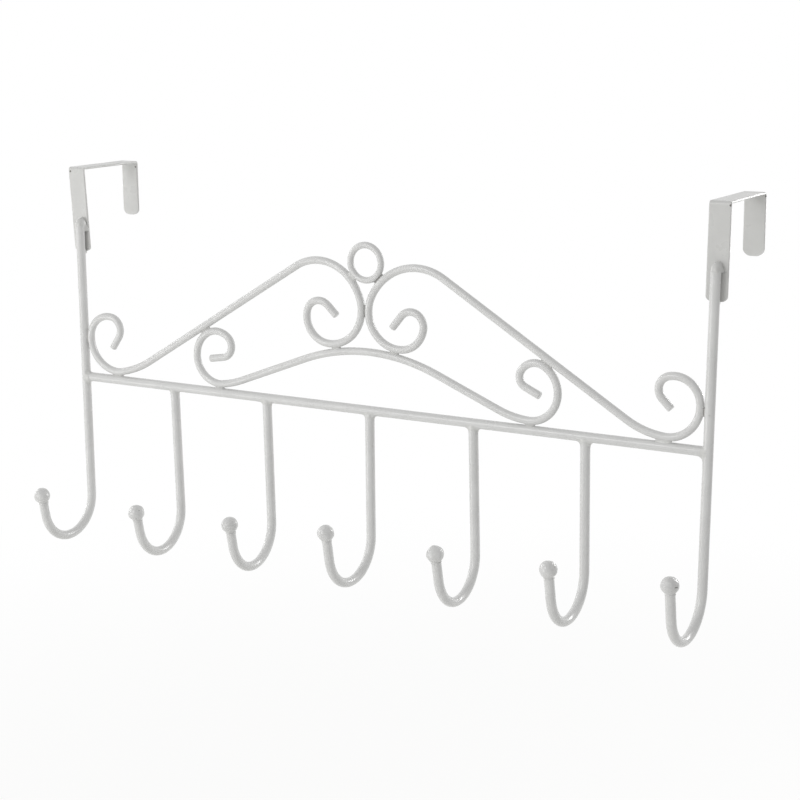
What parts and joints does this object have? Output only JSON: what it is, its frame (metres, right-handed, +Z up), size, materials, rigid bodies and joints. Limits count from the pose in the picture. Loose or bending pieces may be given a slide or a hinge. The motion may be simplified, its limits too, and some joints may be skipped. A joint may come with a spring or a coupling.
{
  "type": "over door hook",
  "caption": "Over-the-door rail with a row of round-rod hooks under scrollwork, hung from two flat strip brackets that fold over the door.",
  "frame": {"origin": "on the door's front top edge, midway between the two brackets", "axes": "+X along the rail, to the right as seen from the front; +Y through the door to its back; +Z up"},
  "size_m": [0.3916, 0.0961, 0.2097],
  "materials": {
    "coated_strip": "gloss",
    "coated_rod": "gloss",
    "coated_wire": "gloss",
    "coated_ball": "gloss",
    "coated_weld": "gloss"
  },
  "bodies": {
    "root": {"left_bracket": "coated_strip", "right_bracket": "coated_strip", "left_post_hook": "coated_rod", "right_post_hook": "coated_rod", "crossbar": "coated_rod", "hook_2": "coated_rod", "hook_3": "coated_rod", "hook_4": "coated_rod", "hook_5": "coated_rod", "hook_6": "coated_rod", "ball_1": "coated_ball", "ball_2": "coated_ball", "ball_3": "coated_ball", "ball_4": "coated_ball", "ball_5": "coated_ball", "ball_6": "coated_ball", "ball_7": "coated_ball", "left_scroll": "coated_wire", "right_scroll": "coated_wire", "lower_scroll": "coated_wire", "ring": "coated_wire", "hook_welds": "coated_weld", "left_post_welds": "coated_weld", "right_post_welds": "coated_weld", "left_scroll_welds": "coated_weld", "right_scroll_welds": "coated_weld", "crown_welds": "coated_weld"}
  },
  "joints": []
}
